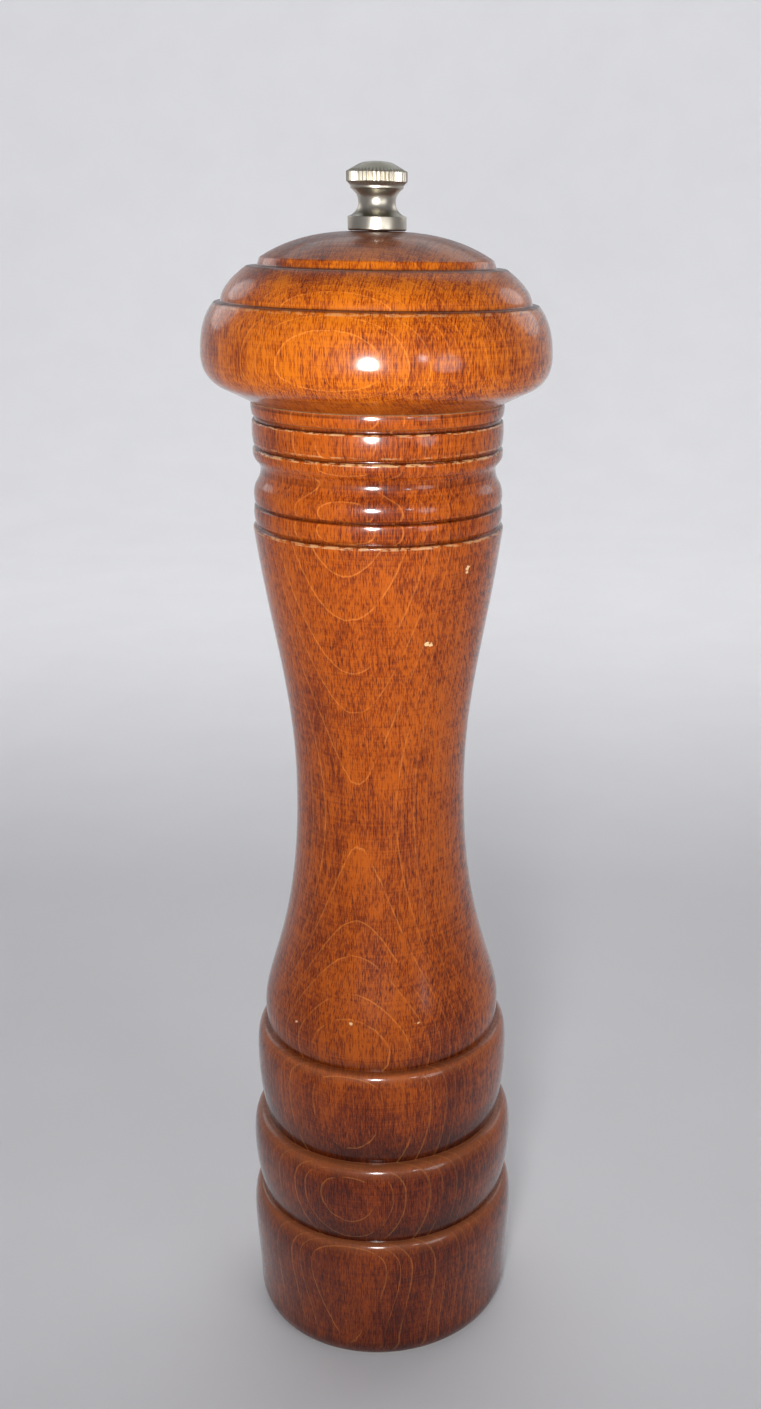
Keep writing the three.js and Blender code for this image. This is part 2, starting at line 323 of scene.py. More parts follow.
# heights at which a change is full and at which it has faded out
# painted shade: the wood is darker towards the foot
PAINTED_FOOT_SHADE = (42.0, 94.0)
HEAD_RISE = (225.0, 200.0)
SHOULDER_TOP = (74.0, 76.0)

# where the colour is darker, how much and what it is multiplied by: painted shade towards the foot and in
# rows at the grooves and under the head, and deeper stain on end grain; a row gives its own amount
PAINTED_FOOT_SHADE_AMOUNT, PAINTED_FOOT_SHADE_COLOUR = 0.6, rgb(0.42, 0.25, 0.3)
END_GRAIN_AMOUNT, END_GRAIN_STAIN = 0.75, rgb(0.4, 0.4, 0.6)
# the colour of painted shade in the rows
PAINTED_ROW_SHADE = rgb(0.16, 0.09, 0.1)
ROW_EDGE = 0.35  # a row of painted shade starts within this below its full height
# the painted sheen on the beads' upward shoulders, what a ring line adds, worn edges and nicks
SHOULDER_SHEEN_AMOUNT, PAINTED_SHOULDER_SHEEN = 0.45, rgb(0.4, 0.125, 0.045)
LINE_GLOW = rgb(0.2, 0.085, 0.018)
WORN_COLOUR = rgb(0.62, 0.36, 0.16)
NICK_COLOUR = rgb(0.78, 0.5, 0.24)
NICK_RAGGED = 1.6  # how far a nick's edge wanders

# noises, by scale across the sheets, along them and up, then detail and roughness; and below
# them the weight that each has in the wood's tone
RAYS = ((0.09, 3.0, 0.4), 3.0, 0.7)
SMALL_RAYS = ((0.2, 5.6, 0.75), 2.0, 0.6)
CLOUD = ((0.07, 0.07, 0.03), 2.0, 0.5)
PORES = ((3.4, 3.4, 0.11), 3.0, 0.65)
MOTTLE = ((0.4, 0.5, 0.16), 4.0, 0.62)
FIGURE = ((0.1, 0.16, 0.07), 3.0, 0.6)
LATHE_MARKS = ((0.04, 0.04, 2.4), 2.0, 0.6)
RAY_WEIGHT, SMALL_RAY_WEIGHT, RING_WEIGHT = -0.22, -0.3, -0.05
PORE_WEIGHT, MOTTLE_WEIGHT, LATHE_WEIGHT = 1.15, 0.4, 0.4
CLOUD_WEIGHT, CLOUD_BASE = 0.7, 0.13
# painted shade: the tone is darker towards the foot
PAINTED_FOOT_SHADE_WEIGHT, TONE_LIFT = -0.13, 0.2
DARK_STOP, MIDDLE_STOP, LIGHT_STOP = 0.05, 0.36, 0.72

VARNISH_BUMP, RAW_BUMP = 0.000026, 0.00006


class Plank:
    """Beech as it lies in a piece: its directions, its layers and its growth rings."""

    def __init__(self, tree, seed):
        self.tree = tree
        self.place = tree.place_mm()
        self.normal = tree.normal()
        self.height = tree.part(self.place, "Z")
        self.facing = tree.part(self.normal, "Z")
        self.radial = tree.vector("DOT_PRODUCT", self.place, SHEET_OUT)
        self.across = tree.vector("DOT_PRODUCT", self.place, SHEET_ALONG)
        grain = tree.add("CombineXYZ", {"X": self.radial, "Y": self.across, "Z": self.height})
        self.grain = tree.vector("ADD", grain.outputs["Vector"], (seed, seed, seed))
        self.rays = tree.span(self.layer(RAYS), 0.47, 0.65)
        self.pores = self.layer(PORES)
        self.phase = self.ring_phase(self.ring_depth())
        # painted shade: a mask that grows towards the foot
        self.painted_foot_shade = tree.span(self.height, *PAINTED_FOOT_SHADE[::-1])
        end_grain = tree.span(self.facing, 0.6, 0.97)
        self.end_grain = tree.math("MULTIPLY", end_grain, tree.span(self.height, *HEAD_RISE[::-1]))

    def layer(self, noise):
        return self.tree.noise(self.grain, *noise)

    def ring_depth(self):
        """Depth through the growth sheets, which bow, sway and ripple a little."""
        tree = self.tree
        bow = tree.math("MULTIPLY", tree.math("MULTIPLY", self.across, self.across), 0.5 / PITH_AWAY)
        depth = tree.math("ADD", self.radial, bow)
        for scales, detail, reach in (((0.03, 0.03, 0.012), 1.0, 1.4), ((0.7, 0.7, 0.4), 2.0, 0.12)):
            wander = tree.math("MULTIPLY_ADD", tree.noise(self.grain, scales, detail), reach, -0.5 * reach)
            depth = tree.math("ADD", depth, wander)
        return depth

    def ring_phase(self, depth):
        """Runs from 0 to 1 across each growth ring."""
        tree = self.tree
        even_rings = (RING_DEPTHS[0] + RING_REACH) / RING_SPACING
        first = math.ceil(even_rings)
        knots = [(0.0, (first - even_rings) / RING_COUNT)]
        for i, d in enumerate(RING_DEPTHS):
            knots.append(((d + RING_REACH) / (2 * RING_REACH), (first + i) / RING_COUNT))
        knots.append((1.0, knots[-1][1] + 2.0 / RING_COUNT))
        curve = tree.add("FloatCurve", {"Factor": 1.0})
        points = curve.mapping.curves[0].points
        points[0].location, points[1].location = knots[0], knots[-1]
        for knot in knots[1:-1]:
            points.new(*knot)
        for point in points:
            point.handle_type = "VECTOR"
        curve.mapping.update()
        tree.feed(curve.inputs["Value"], tree.math("MULTIPLY_ADD", depth, 1 / (2 * RING_REACH), 0.5))
        return tree.math("FRACT", tree.math("MULTIPLY", curve.outputs["Value"], RING_COUNT))

    def ring_line(self):
        """The fine line that ends each ring, as wide on a face along the ring as on one across it."""
        tree = self.tree
        square_on = tree.vector("DOT_PRODUCT", self.normal, SHEET_OUT)
        squared = tree.math("MULTIPLY", square_on, square_on)
        slope = tree.math("SQRT", tree.math("SUBTRACT", 1.0, squared, clamp=True))
        past_line = tree.math("MULTIPLY", self.phase, RING_SPACING)
        past_line = tree.math("DIVIDE", past_line, tree.math("MAXIMUM", slope, LEAST_SLOPE))
        broken = tree.span(tree.noise(self.grain, (0.16, 0.25, 0.05), 2.0), 0.36, 0.5)
        line = tree.math("MULTIPLY", tree.span(past_line, LINE_GONE, LINE_FULL), broken)
        return tree.math("MULTIPLY", line, tree.span(slope, 0.3, 0.8, 1.0, 0.35))

    def coloured(self, shades, figured):
        """The plain wood: rays are short dark dashes from the front, pores are finer and longer."""
        tree = self.tree
        tone = tree.math("MULTIPLY_ADD", self.layer(CLOUD), CLOUD_WEIGHT, CLOUD_BASE)
        small_rays = tree.span(self.layer(SMALL_RAYS), 0.42, 0.66)
        ring_shade = tree.span(self.phase, 0.3, 1.0)
        for layer, weight in ((self.rays, RAY_WEIGHT), (small_rays, SMALL_RAY_WEIGHT),
                              (ring_shade, RING_WEIGHT)):
            tone = tree.math("MULTIPLY_ADD", layer, weight, tone)
        for layer, weight in ((self.pores, PORE_WEIGHT), (self.layer(MOTTLE), MOTTLE_WEIGHT),
                              (self.layer(FIGURE), figured), (self.layer(LATHE_MARKS), LATHE_WEIGHT)):
            tone = tree.math("ADD", tone, tree.math("MULTIPLY_ADD", layer, weight, -0.5 * weight))
        # painted shade: a darker tone towards the foot
        tone = tree.math("MULTIPLY_ADD", self.painted_foot_shade, PAINTED_FOOT_SHADE_WEIGHT, tone)
        ramp = tree.add("ValToRGB", {"Fac": tree.math("ADD", tone, TONE_LIFT, clamp=True)})
        dark, middle, light = shades
        stops = ramp.color_ramp.elements
        stops[0].position, stops[0].color = DARK_STOP, dark
        stops[1].position, stops[1].color = LIGHT_STOP, light
        stops.new(MIDDLE_STOP).color = middle
        return ramp.outputs["Color"]

    def stain_and_painted_light(self, colour, rows):
        """End grain soaking up more colour, painted shade near the foot and in rows, and a painted sheen on
        the beads' shoulders.
        """
        tree = self.tree
        # painted shade towards the foot, and end grain that takes up more stain
        darkened = [(self.painted_foot_shade, PAINTED_FOOT_SHADE_AMOUNT, PAINTED_FOOT_SHADE_COLOUR),
                  (self.end_grain, END_GRAIN_AMOUNT, END_GRAIN_STAIN)]
        # painted shade: rows darkened in and above the grooves and under the head's overhang
        for full, gone, amount in rows:
            above, below = tree.span(self.height, gone, full), tree.span(self.height, full - ROW_EDGE, full)
            darkened.append((tree.math("MULTIPLY", above, below), amount, PAINTED_ROW_SHADE))
        for where, amount, multiplied_by in darkened:
            colour = tree.mix(tree.math("MULTIPLY", where, amount), colour, multiplied_by, "MULTIPLY")
        # painted sheen: the beads' upward-facing shoulders are paler where light falls on them
        on_beads = tree.span(self.height, *SHOULDER_TOP[::-1])
        shoulder_sheen = tree.math("MULTIPLY", tree.span(self.facing, 0.08, 0.6), on_beads)
        return tree.mix(tree.math("MULTIPLY", shoulder_sheen, SHOULDER_SHEEN_AMOUNT), colour, PAINTED_SHOULDER_SHEEN)

    def lined(self, colour):
        """The colour with the growth rings' pale lines."""
        paler = self.tree.mix(1.0, colour, LINE_GLOW, "ADD")
        return self.tree.mix(self.tree.math("MULTIPLY", self.ring_line(), LINE_AMOUNT), colour, paler)

    def worn(self, colour, rows, nicks):
        """Rows of (low, high, amount) where the finish is chipped, and nicks of (x, y, z, size)."""
        tree = self.tree
        chips = tree.noise(self.grain, (0.5, 0.5, 1.6), 3.0, 0.6)
        for low, high, amount in rows:
            middle, half = (low + high) / 2, (high - low) / 2
            away = tree.math("ABSOLUTE", tree.math("SUBTRACT", self.height, middle))
            chipped = tree.math("MULTIPLY", tree.span(away, half, 0.5 * half), tree.span(chips, 0.44, 0.58))
            colour = tree.mix(tree.math("MULTIPLY", chipped, amount), colour, WORN_COLOUR)
        for x, y, z, size in nicks:
            away = tree.vector("DISTANCE", self.place, (x, y, z))
            away = tree.math("ADD", away, tree.math("MULTIPLY_ADD", chips, NICK_RAGGED, -0.5 * NICK_RAGGED))
            colour = tree.mix(tree.span(away, size, 0.6 * size), colour, NICK_COLOUR)
        return colour

    def relief(self):
        """Raised pores, sunk rays and the slow unevenness of a sprayed finish."""
        orange_peel = self.tree.noise(self.grain, (0.45, 0.45, 0.3), 1.0)
        fine = self.tree.math("MULTIPLY_ADD", self.rays, -0.6, self.pores)
        return self.tree.math("MULTIPLY_ADD", orange_peel, 3.0, fine)


def beech(name, seed, shades, varnished, figured=0.5, painted_shade_rows=(), wear_rows=(), nicks=()):
    """Beech in three shades, dark to light: with stain, painted shade and sheen under varnish, or left raw.
    """
    tree = Tree(name)
    plank = Plank(tree, seed)
    colour = plank.coloured(shades, figured)
    if varnished:
        colour = plank.stain_and_painted_light(colour, painted_shade_rows)
    colour = plank.worn(plank.lined(colour), wear_rows, nicks)
    scuffs = tree.noise(plank.grain, (0.16, 0.16, 0.1), 4.0, 0.6)
    if not varnished:
        return tree.finish(Base_Color=colour, Roughness=tree.span(scuffs, 0.2, 0.8, 0.62, 0.82),
                           Normal=tree.bump(plank.relief(), 0.6, RAW_BUMP))
    return tree.finish(Base_Color=colour, Roughness=tree.span(scuffs, 0.25, 0.75, 0.34, 0.5),
                       Specular_IOR_Level=0.1, Coat_Roughness=0.14, Coat_IOR=1.4,
                       Coat_Weight=tree.math("MULTIPLY_ADD", plank.end_grain, -0.6, 0.9),
                       Normal=tree.bump(plank.relief(), 0.6, VARNISH_BUMP))


# ---------------------------------------------------------------- metal
METAL_BUMP = 0.000004
DIRT_COLOUR = rgb(0.12, 0.1, 0.08)
# the colour of painted shade on a metal's upward faces
PAINTED_TOP_SHADE_COLOUR = rgb(0.13, 0.13, 0.1)


def metal(name, colour, rough, grain, mark=0.3, tarnish=None, painted_top_shade=0.0):
    """Metal with fine marks along a direction, uneven polish and faint tarnish, and painted shade on its
    upward faces if asked.
    """
    tree = Tree(name)
    place = tree.place_mm()
    marks = tree.noise(place, grain, 3.0, 0.6)
    patches = tree.noise(place, (0.35, 0.35, 0.35), 4.0, 0.6)
    specks = tree.noise(place, (2.2, 2.2, 2.2), 3.0, 0.6)
    tarnish = tarnish or rgb(*(0.6 * c for c in colour[:3]))
    tint = tree.mix(tree.span(patches, 0.35, 0.7, 0.0, mark), colour, tarnish)
    tint = tree.mix(tree.span(specks, 0.58, 0.72, 0.0, 0.35 * mark), tint, DIRT_COLOUR)
    # painted shade: upward faces darkened, as a dim reflection painted into the metal's colour
    if painted_top_shade:
        upward = tree.part(tree.normal(), "Z")
        tint = tree.mix(tree.span(upward, 0.4, 0.85, 0.0, painted_top_shade), tint, PAINTED_TOP_SHADE_COLOUR)
    roughness = tree.math("ADD", tree.span(patches, 0.3, 0.75, rough, rough + 0.12),
                          tree.math("MULTIPLY_ADD", marks, 0.12, -0.06))
    return tree.finish(Base_Color=tint, Metallic=1.0, Roughness=roughness,
                       Normal=tree.bump(marks, 0.5, METAL_BUMP))


# ---------------------------------------------------------------- finishes
STAINED = (rgb(0.1, 0.013, 0.002), rgb(0.28, 0.045, 0.003), rgb(0.56, 0.137, 0.004))
BARREL_STAINED = (rgb(0.07, 0.008, 0.001), rgb(0.2, 0.029, 0.002), rgb(0.43, 0.087, 0.003))
RAW = (rgb(0.22, 0.1, 0.04), rgb(0.42, 0.24, 0.12), rgb(0.56, 0.37, 0.21))
# rows of painted shade in and above the grooves, at the foot and under the head and its steps (full at this
# height, faded out at this one, amount), and rows of wear
BARREL_PAINTED_SHADE = ((-1.0, 7.0, 0.6), (31.4, 41.0, 0.65), (51.6, 62.0, 0.75), (74.8, 79.0, 0.6),
                (193.9, 195.0, 0.75), (198.3, 199.2, 0.8), (205.2, 207.4, 0.35), (210.4, 211.3, 0.85),
                (216.2, 217.3, 0.85), (219.3, 220.0, 0.6))
HEAD_PAINTED_SHADE = ((219.5, 223.5, 0.5), (239.6, 240.6, 0.7), (246.8, 247.6, 0.6))
NECK_WEAR = ((193.1, 193.9, 0.55), (209.8, 210.5, 0.75), (211.3, 211.7, 0.4), (215.7, 216.2, 0.7))
LEDGE_WEAR = ((238.9, 239.6, 0.35),)
# nicks in the barrel's finish: place and size
BARREL_NICKS = ((11.5, -20.5, 172.5, 0.6), (12.3, -20.0, 172.1, 0.5), (19.6, -17.1, 188.0, 0.55),
                (19.6, -17.1, 187.2, 0.45), (-17.6, -20.3, 83.6, 0.45), (-4.8, -25.7, 86.4, 0.45),
                (2.3, -26.2, 86.2, 0.4), (9.2, -24.5, 86.2, 0.5), (10.0, -24.2, 86.0, 0.45))
barrel_wood = beech("varnished_beech_barrel", 0.0, BARREL_STAINED, True, painted_shade_rows=BARREL_PAINTED_SHADE,
                    wear_rows=NECK_WEAR, nicks=BARREL_NICKS)
head_wood = beech("varnished_beech_head", 57.0, STAINED, True, 0.9, HEAD_PAINTED_SHADE, LEDGE_WEAR)
raw_wood = beech("raw_beech", 80.0, RAW, False)
# the knob's nickel carries painted shade on its top
nickel = metal("nickel_plate", rgb(0.56, 0.52, 0.44), 0.31, (0.6, 0.6, 9.0), 0.25,
               tarnish=rgb(0.42, 0.37, 0.27), painted_top_shade=0.85)
zinc = metal("zinc_plate", rgb(0.6, 0.62, 0.65), 0.3, (0.5, 6.0, 6.0), 0.4, tarnish=rgb(0.48, 0.46, 0.4))
burr_steel = metal("burr_steel", rgb(0.36, 0.36, 0.37), 0.36, (2.5, 2.5, 2.5), 0.5,
                   tarnish=rgb(0.2, 0.17, 0.14))
wire = metal("spring_wire", rgb(0.5, 0.5, 0.52), 0.28, (1.5, 1.5, 1.5), 0.4)
bar_aluminium = metal("drawn_aluminium", rgb(0.7, 0.71, 0.73), 0.32, (7.0, 7.0, 0.15), 0.3)


def part_raw(obj, is_raw):
    """Gives the faces that the varnish never reached the raw wood."""
    obj.data.materials.append(raw_wood)
    for face in obj.data.polygons:
        x, y, z = (c / MM for c in face.center)
        r = math.hypot(x, y)
        outward = (x * face.normal.x + y * face.normal.y) / r
        if is_raw(r, z, outward, face.normal.z):
            face.material_index = 1


# ---------------------------------------------------------------- barrel
SEAT_GAP = 0.08  # between the barrel and the head, and the head and the knob
BARREL_TOP = 219.9
BORE_R = 13.5
COUNTERBORE_R = 21.5
COUNTERBORE_TOP = 23.0

outline = Outline(COUNTERBORE_R + 0.5, 0).line(28.3, 0)
outline.quad(29.9, 0.3, 30.4, 3.2).quad(30.5, 4.4, 30.5, 6, 4)
outline.cubic(30.7, 12, 31.5, 20, 31.5, 25).cubic(31.5, 29, 30.6, 31.6, 29.2, 31.6)
outline.cubic(30.0, 34.5, 31.0, 39.5, 31.0, 44.9).cubic(31.0, 49.5, 30.2, 51.8, 27.9, 51.8)
outline.cubic(28.4, 54, 29.55, 60, 29.55, 67.5).cubic(29.55, 72, 29.3, 75.1, 27.0, 75.1)
outline.quad(27.42, 77, 27.42, 79.8).cubic(27.42, 89.1, 18.97, 99.4, 18.97, 133.5, 40)
outline.cubic(18.97, 156.2, 23.83, 170.1, 26.8, 193.3, 40)
outline.line(26.75, 193.75, 25.95, 194.2, 26.3, 194.7)
outline.quad(26.75, 196.4, 26.45, 198.1).line(25.75, 198.55, 26.35, 199.0)
outline.quad(26.75, 201.0, 26.1, 202.6, 8).cubic(25.55, 203.6, 24.95, 204.6, 24.95, 206.0, 10)
outline.cubic(24.95, 207.2, 26.3, 207.6, 26.46, 209.0, 10).line(26.5, 210.2, 25.65, 210.7, 26.3, 211.2)
outline.quad(26.75, 213.6, 26.45, 216.1).line(25.75, 216.35, 25.85, 217.0, 26.4, 217.2)
outline.quad(26.85, 218.6, 26.6, BARREL_TOP).line(BORE_R, BARREL_TOP, BORE_R, COUNTERBORE_TOP)
outline.line(COUNTERBORE_R, COUNTERBORE_TOP, COUNTERBORE_R, 0.5, COUNTERBORE_R + 0.5, 0)
barrel = place(turned("barrel_turned", outline.softened(0.28)), "barrel", "wood", barrel_wood, "barrel")
part_raw(barrel, lambda r, z, outward, upward: outward < -0.3 or upward < -0.9 or z > BARREL_TOP - 0.05
         or (upward > 0.9 and r < COUNTERBORE_R and z > COUNTERBORE_TOP - 1 and z < 30))

# ---------------------------------------------------------------- head
UNDERSIDE = BARREL_TOP + SEAT_GAP
TENON_BOTTOM = 206.4
TENON_R = 13.2
HEAD_HOLE_R = 4.6
CROWN = 253.9

outline = Outline(HEAD_HOLE_R + 0.2, TENON_BOTTOM).line(TENON_R - 0.5, TENON_BOTTOM)
outline.line(TENON_R, TENON_BOTTOM + 0.5, TENON_R, UNDERSIDE)
outline.line(26.6, UNDERSIDE).quad(27.6, 220.6, 32.2, 222.7, 12)
outline.quad(36.48, 224.6, 36.5, 229.6, 18).quad(36.4, 236.5, 33.4, 239.8, 18)
outline.line(32.05, 239.9).quad(31.9, 243.1, 26.6, 246.9, 16).line(24.5, 247.0, 24.0, 248.5)
outline.quad(16.2, 253.6, HEAD_HOLE_R + 0.3, CROWN, 18).line(HEAD_HOLE_R, CROWN - 0.3)
outline.line(HEAD_HOLE_R, TENON_BOTTOM + 0.2, HEAD_HOLE_R + 0.2, TENON_BOTTOM)
head = place(turned("head_turned", outline.softened(0.3)), "head", "wood", head_wood, "head")
part_raw(head, lambda r, z, outward, upward: z < UNDERSIDE + 0.05 or r < HEAD_HOLE_R + 0.05)

# ---------------------------------------------------------------- knob
KNURLS = 48
KNURL_DEPTH = 0.34
RIM_R = 6.2
RIM_LOW, RIM_HIGH = 263.3, 265.6
KNOB_LOW = CROWN + SEAT_GAP


def knurled(r, z, a):
    if not (RIM_LOW - 0.01 <= z <= RIM_HIGH + 0.01 and r > 5.7):
        return r
    across = (KNURLS * a / TURN) % 1
    return r - KNURL_DEPTH * max(0, 1 - 1.45 * abs(2 * across - 1))


outline = Outline(0, 263).line(2.4, 263, 2.7, 262.6, 2.7, 254.5, 3.1, KNOB_LOW)
outline.line(5.7, KNOB_LOW, 6.0, KNOB_LOW + 0.3, 6.0, 256.75).cubic(4.7, 257.1, 3.8, 258.2, 3.8, 259.4, 14)
outline.cubic(3.8, 260.9, 4.5, 261.5, 5.2, 262.0, 14).line(5.4, 262.2, 5.4, 262.65, 5.95, RIM_LOW)
outline.line(RIM_R - 0.05, RIM_LOW + 0.12, RIM_R, RIM_LOW + 0.25, RIM_R, RIM_HIGH - 0.3)
outline.line(RIM_R - 0.12, RIM_HIGH - 0.1, 5.75, RIM_HIGH).cubic(4.6, 266.3, 3.6, 266.9, 2.9, 267.1, 8)
outline.quad(1.6, 267.4, 0, 267.4, 8)
knob = turned("knob_nickel", outline.softened(0.1, 20, 3), KNURLS * 8, knurled, 40)
place(knob, "knob", "nickel", nickel, "knob")

# ---------------------------------------------------------------- shaft
SHAFT_LOW, SHAFT_HIGH = 10.5, 250.0
STUD_TOP = 262.5


def shaft_shape(r, z, a):
    if r > 2.45:
        return square(r, 0.45, a)
    if z > SHAFT_HIGH + 0.25:
        return thread(r, z, a, 0.42, 0.8)
    return r


outline = Outline(0, 2.3).line(1.9, 2.3, 2.4, 2.8, 2.4, 9.4, 1.9, 9.4, 1.9, SHAFT_LOW)
outline.line(2.7, SHAFT_LOW, 3.0, SHAFT_LOW + 0.3, 3.0, SHAFT_HIGH - 0.5, 2.6, SHAFT_HIGH, 2.2, SHAFT_HIGH)
outline.line(2.2, SHAFT_HIGH + 0.2)
turns = range(int((STUD_TOP - 0.5 - SHAFT_HIGH - 0.3) / 0.1) + 1)
outline.line(*(c for k in turns for c in (2.4, SHAFT_HIGH + 0.3 + 0.1 * k)))
outline.line(1.95, STUD_TOP, 0, STUD_TOP)
shaft = turned("shaft_bar", outline.points, SMALL_ROUND, shaft_shape, 30)
place(shaft, "shaft", "shaft_aluminium", bar_aluminium, "shaft")

# ---------------------------------------------------------------- burrs
BURR_TEETH = 16
BURR_LEAN = 0.035  # radians per millimetre
TOOTH_SHARE = 0.068  # tooth depth over radius
BURR_ROWS = range(1, 11)
CONE_Z = 15  # height where the burrs' two cones meet
ROTOR_LOW_SLOPE, ROTOR_HIGH_SLOPE = 0.39, 0.727
STATOR_LOW_SLOPE, STATOR_HIGH_SLOPE = 0.432, 0.32
ROTOR_R, STATOR_R = 10.0, 11.21  # at the height where the cones meet
ROTOR_HIGH = 20.5
SQUARE_HOLE = 3.3  # half the width of the hole for the shaft


def burr_shape(r, z, a):
    if r < 3.7:
        return square(r, 0.3, a)
    if r > 15:
        return r
    return r * (1 - TOOTH_SHARE * tooth(a, z, BURR_TEETH, BURR_LEAN))


outline = Outline(SQUARE_HOLE, SHAFT_LOW).line(11.2, SHAFT_LOW, 11.7, SHAFT_LOW + 0.3)
for k in BURR_ROWS:
    z = SHAFT_LOW + 0.3 + k
    slope = ROTOR_LOW_SLOPE if z < CONE_Z else ROTOR_HIGH_SLOPE
    outline.line(ROTOR_R - (z - CONE_Z) * slope, min(z, ROTOR_HIGH - 0.1))
outline.line(5.7, ROTOR_HIGH, SQUARE_HOLE, ROTOR_HIGH, SQUARE_HOLE, SHAFT_LOW)
rotor = turned("rotor_burr", outline.points, BURR_TEETH * 12, burr_shape, 25)
place(rotor, "shaft", "burr_steel", burr_steel, "rotor")

STATOR_LOW, STATOR_HIGH = 12.3, 22.7
outline = Outline(12.4, STATOR_LOW).line(20.9, STATOR_LOW, 21.2, STATOR_LOW + 0.3, 21.2, STATOR_HIGH - 0.3)
outline.line(20.9, STATOR_HIGH, 13.8, STATOR_HIGH)
for k in BURR_ROWS:
    z = STATOR_HIGH - k
    slope = STATOR_HIGH_SLOPE if z > CONE_Z else -STATOR_LOW_SLOPE
    outline.line(STATOR_R + (z - CONE_Z) * slope, z)
outline.line(12.4, STATOR_LOW)
stator = turned("stator_burr", outline.points, BURR_TEETH * 12, burr_shape, 25)

# ---------------------------------------------------------------- retainer bar and screws
BAR_LOW, BAR_THICK, BAR_WIDE = 2.5, 1.5, 12.0
BAR_LEG, BAR_END, BAR_TAB_TOP = 13.6, 20.3, 12.0
BAR_SCREW_X, BAR_HOLE_R = 17.6, 2.0


def bend(x, z, r, from_deg, to_deg, steps=6):
    """An arc's points, from one angle to another."""
    angles = [math.radians(from_deg + (to_deg - from_deg) * k / steps) for k in range(steps + 1)]
    return [(x + r * math.cos(a), z + r * math.sin(a)) for a in angles]


inner, tab_low, bar_floor = BAR_LEG - BAR_THICK, BAR_TAB_TOP - BAR_THICK, BAR_LOW + BAR_THICK
side = bend(BAR_LEG - 2.3, BAR_LOW + 2.3, 2.3, -90, 0) + bend(BAR_LEG + 0.5, tab_low - 0.5, 0.5, 180, 90, 3)
side += [(BAR_END, tab_low), (BAR_END, BAR_TAB_TOP)] + bend(inner + 1.9, BAR_TAB_TOP - 1.9, 1.9, 90, 180)
side += bend(inner - 0.8, bar_floor + 0.8, 0.8, 0, -90, 3)
side += [(-x, z) for x, z in reversed(side)]
bar = prism("retainer_strap", side, -BAR_WIDE / 2, BAR_WIDE / 2)
bar.data.transform(Matrix.Rotation(math.pi / 2, 4, "X"))
ends = [(BAR_END - 6 + x, y) for x, y in bend(0, 0, 6.0, -90, 90, 16)]
ends += [(-x, -y) for x, y in ends]
cut(bar, prism("strap_ends", ends, 0, 14), operation="INTERSECT")
cut(bar, prism("spigot_hole", circle(2.7), 0, 6),
    prism("screw_hole_a", circle(BAR_HOLE_R, x=BAR_SCREW_X), 8, 14),
    prism("screw_hole_b", circle(BAR_HOLE_R, x=-BAR_SCREW_X), 8, 14))
applied(bar, "BEVEL", width=0.22 * MM, segments=2, limit_method="ANGLE", angle_limit=math.radians(50))
place(bar, "barrel", "plated_steel", zinc, "retainer_bar")
cut(stator, prism("stator_hole_a", circle(BAR_HOLE_R, x=BAR_SCREW_X), 10, 25),
    prism("stator_hole_b", circle(BAR_HOLE_R, x=-BAR_SCREW_X), 10, 25))
place(stator, "barrel", "burr_steel", burr_steel, "stator")


def screw(name, head_r, head_h, shank_r, length, pitch, head_top, x, y, turn):
    """A pan-headed screw pointing up, its head below, with a crossed recess."""
    low, thread_low, row = head_top - head_h, head_top + 0.5, pitch / 8
    outline = Outline(0, low).line(0.45 * head_r, low)
    outline.quad(0.95 * head_r, low, head_r, low + 0.65 * head_h, 8)
    outline.line(head_r, head_top, shank_r, head_top, shank_r, thread_low)
    rows = int((length - 0.5 - 2 * shank_r) / row)
    outline.line(*(c for k in range(1, rows) for c in (shank_r, thread_low + k * row)))
    outline.line(0.25, head_top + length - 0.2, 0, head_top + length)

    def shape(r, z, a):
        threaded = z > thread_low + 0.01 and r > 0.5
        return thread(r, z, a, 0.28 * shank_r, pitch) if threaded else r

    made = turned(name, outline.points, 48, shape, 30)
    long, wide, deep = 1.25 * head_r, 0.26 * head_r, 0.62 * head_h
    cut(made, *(prism(f"{name}_slot_{i}", rectangle(*size), low - 1, low + deep)
                for i, size in enumerate(((long, wide), (wide, long)))))
    turned_to = Matrix.Rotation(math.radians(turn), 4, "Z")
    made.data.transform(Matrix.Translation((x * MM, y * MM, 0)) @ turned_to)
    return made


for name, x, turn in (("left", -BAR_SCREW_X, 20), ("right", BAR_SCREW_X, 64)):
    made = screw(f"retainer_screw_{name}_pan", 3.4, 1.9, 1.7, 20, 1.6, tab_low - 0.3, x, 0, turn)
    place(made, "barrel", "plated_steel", zinc, f"retainer_screw_{name}")

# ---------------------------------------------------------------- clip and spring
CLIP_LOW, CLIP_HIGH, CLIP_R = 9.7, 10.2, 4.6
CLIP_OPEN, CLIP_STEP = 34, 4  # half its mouth and the step round it, in degrees
CLIP_INNER_R, CLIP_GRIP = 3.3, 1.1  # its inner edge, and how far its three jaws reach in
clip = []
for degrees in range(CLIP_OPEN, 361 - CLIP_OPEN, CLIP_STEP):
    a = math.radians(degrees)
    clip.append((CLIP_R * math.cos(a), CLIP_R * math.sin(a)))
for degrees in range(360 - CLIP_OPEN, CLIP_OPEN - 1, -CLIP_STEP):
    a = math.radians(degrees)
    r = CLIP_INNER_R - CLIP_GRIP * max(0.0, math.cos(3 * (a - math.pi))) ** 2
    clip.append((r * math.cos(a), r * math.sin(a)))
clip = prism("rotor_clip_plate", clip, CLIP_LOW, CLIP_HIGH)
place(clip, "shaft", "plated_steel", zinc, "rotor_clip")

SPRING_LOW, SPRING_HIGH, SPRING_R, SPRING_TURNS = 4.3, 9.4, 3.7, 4
WIRE_R = 0.4
END_TURN_EASE = 0.55


